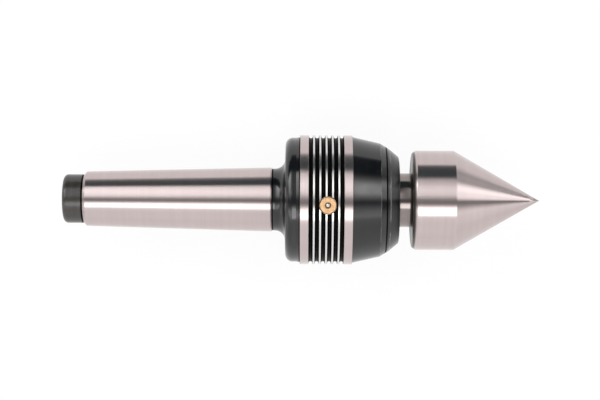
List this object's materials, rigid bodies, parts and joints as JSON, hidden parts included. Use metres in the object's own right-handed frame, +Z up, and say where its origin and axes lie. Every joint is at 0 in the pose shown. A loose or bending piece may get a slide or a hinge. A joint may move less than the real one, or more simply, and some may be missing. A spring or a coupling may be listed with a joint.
{
  "type": "live center",
  "caption": "Revolving lathe centre: tapered shank, ribbed cylindrical body with a conical nose, and a bearing-mounted spindle with a 60 degree point.",
  "frame": {"origin": "on the centre line at the Morse taper's gauge plane", "axes": "+X along the centre line towards the point, +Z up through the ball oiler"},
  "size_m": [0.2343, 0.0636, 0.0636],
  "materials": {
    "black_ground_steel": "black oxide, ground bright on the taper, the two bands and the rib tops",
    "black_steel": "black oxide, fine turned",
    "ground_steel": "hardened and ground",
    "bearing_steel": "ground and polished",
    "ball_steel": "polished",
    "cage_brass": "machined",
    "cage_steel": "pressed",
    "bright_sheet_steel": "pressed sheet",
    "spring_steel": "drawn wire",
    "seal_case_steel": "pressed sheet",
    "seal_rubber": "moulded",
    "oiler_brass": "turned"
  },
  "bodies": {
    "housing": {"housing": "black_ground_steel", "nose_cap": "black_steel", "seal_case": "seal_case_steel", "seal_lip": "seal_rubber", "garter_spring": "spring_steel", "front_outer_ring": "bearing_steel", "thrust_housing_washer": "bearing_steel", "needle_cup": "bright_sheet_steel", "oiler_body": "oiler_brass", "oiler_spring": "spring_steel"},
    "spindle": {"spindle": "ground_steel", "ring_nut": "black_steel", "tab_washer": "bright_sheet_steel", "front_inner_ring": "bearing_steel", "thrust_shaft_washer": "bearing_steel"},
    "front_ball_set": {"front_balls": "ball_steel", "front_cage": "cage_brass"},
    "thrust_ball_set": {"thrust_balls": "ball_steel", "thrust_cage": "cage_brass"},
    "needle_set": {"needle_rollers": "ball_steel", "needle_cage": "cage_steel"},
    "oiler_ball": {"oiler_ball": "ball_steel"}
  },
  "joints": [
    {"name": "spindle_spin", "type": "hinge", "parent": "housing", "child": "spindle", "pos_m": [0.047, 0, 0], "axis": [1, 0, 0], "continuous": true},
    {"name": "front_balls_orbit", "type": "hinge", "parent": "housing", "child": "front_ball_set", "pos_m": [0.047, 0, 0], "axis": [1, 0, 0], "continuous": true},
    {"name": "thrust_balls_orbit", "type": "hinge", "parent": "housing", "child": "thrust_ball_set", "pos_m": [0.026, 0, 0], "axis": [1, 0, 0], "continuous": true},
    {"name": "needles_orbit", "type": "hinge", "parent": "housing", "child": "needle_set", "pos_m": [0.006, 0, 0], "axis": [1, 0, 0], "continuous": true},
    {"name": "oiler_ball_press", "type": "slide", "parent": "housing", "child": "oiler_ball", "axis": [0, 0, -1], "range_m": [0, 0.001], "stiffness_N_per_m": 800, "springref_m": -0.001, "deforming": ["oiler_spring"]}
  ],
  "couplings": [
    {"joint": "front_balls_orbit", "follows": "spindle_spin", "ratio": 0.4062},
    {"joint": "thrust_balls_orbit", "follows": "spindle_spin", "ratio": 0.5},
    {"joint": "needles_orbit", "follows": "spindle_spin", "ratio": 0.4412}
  ]
}
